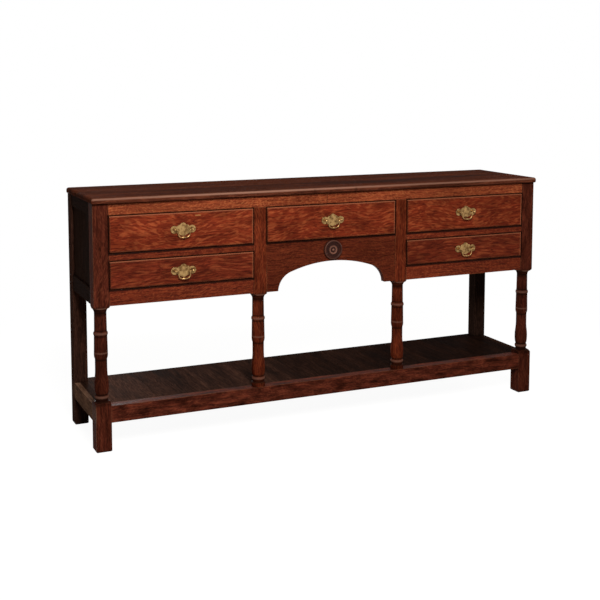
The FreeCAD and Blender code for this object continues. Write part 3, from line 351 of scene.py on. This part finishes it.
# Painted shade on the frame round each drawer opening, where the gaps round the drawers lie in shadow
drawerNames = [
    "left_upper_drawer", "left_lower_drawer", "centre_drawer", "right_upper_drawer", "right_lower_drawer"]
openingShade = {
    "left": 0.0055, "right": 0.0045, "under": 0.0080, "over": 0.0045, "depth": 0.035,
    "soft": 0.002, "share": 0.88, "paint": "#0b0403",
}
openingShadeMarks = []
for name in drawerNames:
    low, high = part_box(name + "_front")
    across = (low[0] - openingShade["left"], high[0] + openingShade["right"])
    upright = (low[2] - openingShade["under"], high[2] + openingShade["over"])
    # a painted shade band round each opening
    openingShadeMarks.append({"spans": (across, (-beyond, low[1] + openingShade["depth"]), upright),
                         "soft": (openingShade["soft"],) * 3,
                         "share": openingShade["share"], "paint": openingShade["paint"]})

# Turned columns, darker overall than the square above: painted shade in the grooves, at the pommel under the
# case and at the base, and painted highlights on the ring crests
columnShadeAndHighlights = {
    "shades": (((0.156, 0.470), 0.26), ((0.452, 0.482), 0.66), ((0.154, 0.192), 0.40)),   # all, pommel, base
    "shadeSoft": 0.004, "dark": "#140805", "darkShare": 0.7,
    "shadedGrooves": ((0.4030, 0.0022), (0.3835, 0.0022), (0.3060, 0.0030),     # middle height, half width
                (0.1905, 0.0022), (0.1700, 0.0045), (0.4620, 0.0024)),
    "highlitCrests": ((0.3935, 0.0035), (0.1820, 0.0040), (0.3290, 0.0022), (0.4770, 0.0022)),
    "highlight": "#8a6150", "highlightShare": 0.38, "soft": 0.0016,
}
columnShadeAndHighlightMarks = []
# painted shade down the column, at the pommel and at the base
for span, share in columnShadeAndHighlights["shades"]:
    columnShadeAndHighlightMarks.append({"spans": (None, None, span), "soft": (0, 0, columnShadeAndHighlights["shadeSoft"]),
                        "share": share, "paint": columnShadeAndHighlights["dark"]})
# painted shade in the grooves, painted highlights on the ring crests
for rows, share, paint in (("shadedGrooves", columnShadeAndHighlights["darkShare"], columnShadeAndHighlights["dark"]),
                           ("highlitCrests", columnShadeAndHighlights["highlightShare"], columnShadeAndHighlights["highlight"])):
    for middle, half in columnShadeAndHighlights[rows]:
        columnShadeAndHighlightMarks.append({"spans": (None, None, (middle - half, middle + half)),
                            "soft": (0, 0, columnShadeAndHighlights["soft"]), "share": share, "paint": paint})

# The potboard's left end has faded, rail and squares together; its right end has stayed dark
endFade = {"depth": 0.002, "inset": 0.006, "soft": (0.001, 0, 0.011), "share": 0.5, "paint": "#7b5a47"}
railLow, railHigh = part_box("potboard_end_rails")
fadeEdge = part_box("left_front_post")[0][0] + endFade["depth"]
fadeRise = (railLow[2] + endFade["inset"], railHigh[2] - endFade["inset"])
leftFade = {
    "spans": ((-beyond, fadeEdge), None, fadeRise), "soft": endFade["soft"],
    "share": endFade["share"], "paint": endFade["paint"],
}
rightShade = {
    "spans": ((0.0, beyond), None, None), "soft": (0.1, 0, 0), "share": 1.0,
    "paint": "#6b6465", "blend": "MULTIPLY",
}

# The raised bead round a drawer front: painted highlight along its top and right, painted shade along its
# bottom and left
drawerBead = {
    "width": 0.0034, "soft": 0.0012, "highlight": "#b0694a", "topShare": 0.62, "sideShare": 0.3,
    "dark": "#1a0a06", "darkShare": 0.6, "bare": "#9c6f45", "bareShare": 0.72, "bareDepth": 0.002,
}


def beadMarks(name):
    low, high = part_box(name + "_front")
    width = drawerBead["width"]
    across = (low[0], high[0])
    upright = (low[2], high[2])
    # painted shade strips along the bottom and left, painted highlight strips along the right and top
    strips = (
        (across, (low[2], low[2] + width), drawerBead["darkShare"], drawerBead["dark"]),
        ((low[0], low[0] + width), upright, drawerBead["darkShare"], drawerBead["dark"]),
        ((high[0] - width, high[0]), upright, drawerBead["sideShare"], drawerBead["highlight"]),
        (across, (high[2] - width, high[2]), drawerBead["topShare"], drawerBead["highlight"]),
    )
    marks = []
    for spanX, spanZ, share, paint in strips:
        marks.append({"spans": (spanX, None, spanZ), "soft": (drawerBead["soft"],) * 3,
                      "share": share, "paint": paint})
    # the inner face was never stained
    behind = (high[1] - drawerBead["bareDepth"], beyond)
    marks.append({"spans": (None, behind, None), "soft": (0, drawerBead["bareDepth"] / 2, 0),
                  "share": drawerBead["bareShare"], "paint": drawerBead["bare"]})
    return marks


# Turned rings of the boss: painted highlights on the high rings and the centre, painted shade in the hollows
# between
bossLow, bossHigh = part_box("apron_boss")
bossRingLight = {
    "centre": ((bossLow[0] + bossHigh[0]) / 2, 0.0, (bossLow[2] + bossHigh[2]) / 2), "soft": 0.0015,
    # the dark bands are painted shade, the pale bands painted highlights
    "bands": ((0.0050, 0.0090, 0.7, "#1c0a06"), (0.0175, 0.0235, 0.6, "#1c0a06"),     # radii, share, colour
              (-0.01, 0.0035, 0.75, "#9a6a57"), (0.0105, 0.0150, 0.6, "#9a6a57"),
              (0.0315, 0.0340, 0.25, "#9a6a57")),
}

# The potboard darkens towards its right: painted shade, where less light reaches it, and more dust there
plankShade = {
    "spans": ((-0.225, beyond), None, None), "soft": (0.575, 0, 0), "share": 1.0,
    "paint": "#7d7b7a", "blend": "MULTIPLY",
}


# Cast brass, file-finished and tarnished: soft golden shine, dark in the corners, paler where fingers rub
brassFinish = {
    "clean": "#ad8a59", "tarnish": "#674a2b", "dark": "#281d11", "tarnishAt": 0.35, "cleanAt": 0.62,
    "cornerReach": 0.007, "cornerSpan": (0.25, 0.8), "darkShare": 0.9, "samples": 6,
    "patch": 0.009, "speck": 0.0016, "bumpStrength": 0.15, "bumpDepth": 0.0002,     # sizes in metres
    "roughSpan": (0.3, 0.7), "tarnishRough": 0.50, "cleanRough": 0.30,
}


def brassMaterial(name):
    material, tree = newMaterial(name)
    place = addNode(tree, "TexCoord").outputs["Object"]
    figure = {}
    for layer, detail in (("patch", 3.0), ("speck", 1.0)):
        scale = (brassFinish[layer],) * 3
        spot = addNode(tree, "Mapping", sized, {"Vector": place, "Scale": scale})
        noise = addNode(tree, "TexNoise", inputs={
            "Vector": spot.outputs[0], "Scale": 1.0, "Detail": detail})
        figure[layer] = noise.outputs["Fac"]
    ramp = addNode(tree, "ValToRGB", inputs={"Fac": figure["patch"]})
    stops = ramp.color_ramp.elements
    stops[0].position = brassFinish["tarnishAt"]
    stops[0].color = linearColour(brassFinish["tarnish"])
    stops[1].position = brassFinish["cleanAt"]
    stops[1].color = linearColour(brassFinish["clean"])
    hollow = addNode(tree, "AmbientOcclusion", {"samples": brassFinish["samples"]}, {
        "Distance": brassFinish["cornerReach"]})
    fullAt, noneAt = brassFinish["cornerSpan"]
    deep = addNode(tree, "MapRange", inputs={
        "Value": hollow.outputs["AO"], "From Min": fullAt, "From Max": noneAt,
        "To Min": brassFinish["darkShare"], "To Max": 0.0})
    colour = addNode(tree, "Mix", colourMix, {
        0: deep.outputs[0], 6: ramp.outputs["Color"], 7: linearColour(brassFinish["dark"])}).outputs[2]
    noneAt, fullAt = brassFinish["roughSpan"]
    roughness = addNode(tree, "MapRange", inputs={
        "Value": figure["patch"], "From Min": noneAt, "From Max": fullAt,
        "To Min": brassFinish["tarnishRough"], "To Max": brassFinish["cleanRough"]})
    bump = addNode(tree, "Bump", inputs={
        "Height": figure["speck"],
        "Strength": brassFinish["bumpStrength"], "Distance": brassFinish["bumpDepth"]})
    shader = addNode(tree, "BsdfPrincipled", inputs={
        "Base Color": colour, "Metallic": 1.0, "Roughness": roughness.outputs[0],
        "Normal": bump.outputs["Normal"]})
    addNode(tree, "OutputMaterial", inputs={"Surface": shader.outputs["BSDF"]})
    return material


# What sets a piece's oak apart from plain oak
longPatch = {"patch": (0.60, 0.075), "tone": (0.32, 1.6)}     # streaks along the top, wide enough to see
plankPatch = {"patch": (0.30, 0.045), "tone": (0.5, 1.5), "boards": ("X", -0.811, 0.181)}
frontPatch = {
    "patch": (0.085, 0.032), "tone": (0.74, 1.28), "fleck": 0.46, "rays": (0.13, 0.0075), "rough": 0.45,
}
frontTilt = {"upper": 16.0, "lower": 7.0}     # the lower drawers' figure lies flatter
endPatch = {"patch": (0.10, 0.030), "tone": (0.5, 1.5), "boxes": [rightShade]}
railPatch = {"patch": (0.06, 0.022), "tone": (0.45, 1.85), "wear": 0.8, "gloss": 0.008}
dull = {"rough": 0.62, "gloss": 0.001}
smoked = {"fleck": 0.2, **dull}
bare = {"rough": 0.7, "gloss": 0.01}
backBoardCount = 3
backLow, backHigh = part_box("back_boards")
backBoards = ("Z", backLow[2], (backHigh[2] - backLow[2]) / backBoardCount)     # one above another
# real wear on the posts, with the columns' and the openings' painted shade and highlights
postWearAndPaintedLight = {
    "wear": 0.8, "rough": 0.5, "gloss": 0.004, "patch": (0.12, 0.030), "tone": (0.62, 1.42),
    "boxes": columnShadeAndHighlightMarks + openingShadeMarks + [leftFade],
}
# a real crack, and painted shade round the openings
topRailCrackAndShadeMarks = [railCrack] + openingShadeMarks
turnedBoss = {"fleck": 0.1, "rough": 0.34, "gloss": 0.1, "rings": bossRingLight}
finishes = {
    "topRail": oakMaterial("waxedOakTopRail", "x", stains["rail"], fleck=0.5, boxes=topRailCrackAndShadeMarks),
    "rail": oakMaterial("waxedOakRail", "x", stains["crossRail"], boxes=openingShadeMarks),
    "apron": oakMaterial("waxedOakApron", "x", stains["apron"], gloss=0.02, boxes=openingShadeMarks),
    "boss": oakMaterial("waxedOakBoss", "x", stains["boss"], **turnedBoss),
    "stile": oakMaterial("waxedOakStile", "z", stains["stile"], **postWearAndPaintedLight),
    "muntin": oakMaterial("waxedOakMuntin", "z", stains["muntin"], **postWearAndPaintedLight),
    "top": oakMaterial("waxedOakTop", "x", stains["top"], boxes=topHighlightAndBruiseMarks, **longPatch, **smoked),
    # the ends and the rear legs carry stains darkened as painted shade
    "endRail": oakMaterial("shadedOakEndRail", "y", stains["end"], **smoked),
    "endPanel": oakMaterial("shadedOakEndPanel", "z", stains["end"], **smoked),
    "leftLeg": oakMaterial("shadedOakLeftLeg", "z", stains["rearLeg"], boxes=[leftFade], **smoked),
    "rightLeg": oakMaterial("shadedOakRightLeg", "z", stains["end"], **smoked),
    "potboardRail": oakMaterial("waxedOakPotboardRail", "x", stains["stile"], **railPatch),
    "potboardEnd": oakMaterial("wornOakPotboardEnd", "y", stains["potboardEnd"], **endPatch, **dull),
    "planks": oakMaterial(
        "wornOakPlanks", "y", stains["potboard"], fleck=0.25, boxes=[plankShade], **plankPatch, **dull),
    "backBoards": oakMaterial("bareOakBackBoards", "x", stains["inner"], boards=backBoards, **bare),
    "innerX": oakMaterial("bareOakAcross", "x", stains["inner"], **bare),
    "innerY": oakMaterial("bareOakRunner", "y", stains["inner"], **bare),
    "liningX": oakMaterial("bareOakLiningAcross", "x", stains["lining"], **bare),
    "liningY": oakMaterial("bareOakLiningSide", "y", stains["lining"], **bare),
    "brass": brassMaterial("tarnishedBrass"),
}
finishOf = {
    "top_front_plank": "top", "top_rear_plank": "top", "top_front_rail": "topRail",
    "divider_rails": "rail", "bottom_rails": "rail", "apron": "apron", "apron_boss": "boss",
    "left_end_rails": "endRail", "right_end_rails": "endRail",
    "left_end_panel": "endPanel", "right_end_panel": "endPanel",
    "back_frame": "innerX", "back_boards": "backBoards",
    "drawer_runners": "innerY", "drawer_kickers": "innerY",
    "potboard_front_rail": "potboardRail", "potboard_back_rail": "potboardRail",
    "potboard_end_rails": "potboardEnd", "potboard_planks": "planks",
    "left_rear_leg": "leftLeg", "right_rear_leg": "rightLeg",
}
for name in drawerNames:
    isLower = "lower" in name
    stain = stains["lower" if isLower else "front"]
    tilt = frontTilt["lower" if isLower else "upper"]
    marks = beadMarks(name)
    if name == "left_upper_drawer":
        marks.append(drawerScratch)
    title = "waxedOak_" + name
    finishes[title] = oakMaterial(title, "x", stain, tilt=tilt, boxes=marks, **frontPatch)
    finishOf[name + "_front"] = title
endings = {
    "_front_post": "stile", "_middle_post": "muntin",
    "_sides": "liningY", "_back": "liningX", "_bottom": "liningX",
    "_pull_plate": "brass", "_pull_posts": "brass", "_bail": "brass",
}
arrises = {"weld": 0.00001, "oakWidth": 0.0009, "brassWidth": 0.0003, "angle": 32.0, "segments": 2}
for name, item in nodes.items():
    finish = finishOf.get(name) or next(value for ending, value in endings.items() if name.endswith(ending))
    item.data.materials.clear()
    item.data.materials.append(finishes[finish])
    weld = item.modifiers.new("weld", "WELD")
    weld.merge_threshold = arrises["weld"]
    bevel = item.modifiers.new("arris", "BEVEL")
    bevel.width = arrises["brassWidth"] if finish == "brass" else arrises["oakWidth"]
    bevel.segments = arrises["segments"]
    bevel.limit_method = "ANGLE"
    bevel.angle_limit = math.radians(arrises["angle"])
print("finishes set:", len(finishes))

# Studio: white paper floor that keeps a soft shadow near the feet, a broad lamp in front, little fill behind
studio = {
    "floorSize": 16.0, "floorColour": "#6d6c6a", "bounceColour": "#8f8d8a", "glow": 0.94,
    "shadowReach": 1.25, "whiteReach": 2.1, "worldLight": 0.11, "white": 1.0,
}


# Rays that see the white surroundings: from the camera, and by reflection or through glass
def whiteRays(tree):
    path = addNode(tree, "LightPath").outputs
    seen = addNode(tree, "Math", maximum, {0: path["Is Camera Ray"], 1: path["Is Glossy Ray"]}).outputs[0]
    return addNode(tree, "Math", maximum, {0: seen, 1: path["Is Transmission Ray"]}).outputs[0]


bpy.ops.mesh.primitive_plane_add(size=studio["floorSize"])
floor = bpy.context.object
floor.name = "paperFloor"
floorPaint, floorTree = newMaterial("whitePaperFloor")
spot = addNode(floorTree, "TexCoord").outputs["Object"]
away = addNode(floorTree, "VectorMath", {"operation": "LENGTH"}, {0: spot}).outputs["Value"]
fade = addNode(floorTree, "MapRange", {"interpolation_type": "SMOOTHSTEP"}, {
    "Value": away, "From Min": studio["shadowReach"], "From Max": studio["whiteReach"]})
plain = addNode(floorTree, "BsdfDiffuse", inputs={"Color": linearColour(studio["bounceColour"])})
paper = addNode(floorTree, "BsdfDiffuse", inputs={"Color": linearColour(studio["floorColour"])})
glow = addNode(floorTree, "Emission", inputs={"Strength": studio["glow"]})
near = addNode(floorTree, "AddShader", inputs={0: paper.outputs[0], 1: glow.outputs[0]})
white = addNode(floorTree, "Emission", inputs={"Strength": studio["white"]})
shown = addNode(floorTree, "MixShader", inputs={
    0: fade.outputs[0], 1: near.outputs[0], 2: white.outputs[0]})
whole = addNode(floorTree, "MixShader", inputs={
    0: whiteRays(floorTree), 1: plain.outputs[0], 2: shown.outputs[0]})
addNode(floorTree, "OutputMaterial", inputs={"Surface": whole.outputs[0]})
floor.data.materials.append(floorPaint)
floor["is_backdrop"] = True

world = bpy.data.worlds.new("softStudio")
bpy.context.scene.world = world
world.use_nodes = True
skyTree = world.node_tree
skyTree.nodes.clear()
strength = addNode(skyTree, "MapRange", inputs={
    "Value": whiteRays(skyTree), "To Min": studio["worldLight"], "To Max": studio["white"]})
sky = addNode(skyTree, "Background", inputs={
    "Color": linearColour("#ffffff"), "Strength": strength.outputs[0]})
addNode(skyTree, "OutputWorld", inputs={"Surface": sky.outputs["Background"]})

lamps = {
    "broadFront": {"place": (-0.90, -2.6, 2.3), "aim": (-0.25, 0.0, 0.6), "size": 1.1, "power": 93.0},
    "softRear": {"place": (-0.2, 3.4, 0.45), "aim": (0.0, 0.1, 0.5), "size": 0.9, "power": 50.0},
    "softRight": {"place": (3.4, 0.2, 1.0), "aim": (0.6, 0.0, 0.5), "size": 1.4, "power": 40.0},
}
for name, lamp in lamps.items():
    light = bpy.data.lights.new(name, "AREA")
    light.size = lamp["size"]
    light.energy = lamp["power"]
    holder = bpy.data.objects.new(name, light)
    bpy.context.collection.objects.link(holder)
    holder.location = lamp["place"]
    sight = Vector(lamp["aim"]) - Vector(lamp["place"])
    holder.rotation_euler = sight.to_track_quat("-Z", "Y").to_euler()

# Camera matched to the photograph; the picture was cropped below its optical centre, hence the shift
viewpoint = {
    "place": (-1.6505, -3.5790, 1.2406), "yaw": 24.121, "pitch": 5.713,
    "focalPixels": 1084.71, "axisRow": 180.0, "frame": 600.0, "sensor": 36.0,
}
cameraData = bpy.data.cameras.new("viewpoint")
camera = bpy.data.objects.new("viewpoint", cameraData)
bpy.context.collection.objects.link(camera)
cameraData.sensor_width = viewpoint["sensor"]
cameraData.lens = viewpoint["focalPixels"] / viewpoint["frame"] * viewpoint["sensor"]
cameraData.shift_y = (viewpoint["axisRow"] - viewpoint["frame"] / 2) / viewpoint["frame"]
camera.location = viewpoint["place"]
camera.rotation_euler = (math.radians(90 - viewpoint["pitch"]), 0.0, math.radians(-viewpoint["yaw"]))
bpy.context.scene.camera = camera
bpy.context.scene.view_settings.view_transform = "Standard"
print("studio and camera set")

low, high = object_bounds()
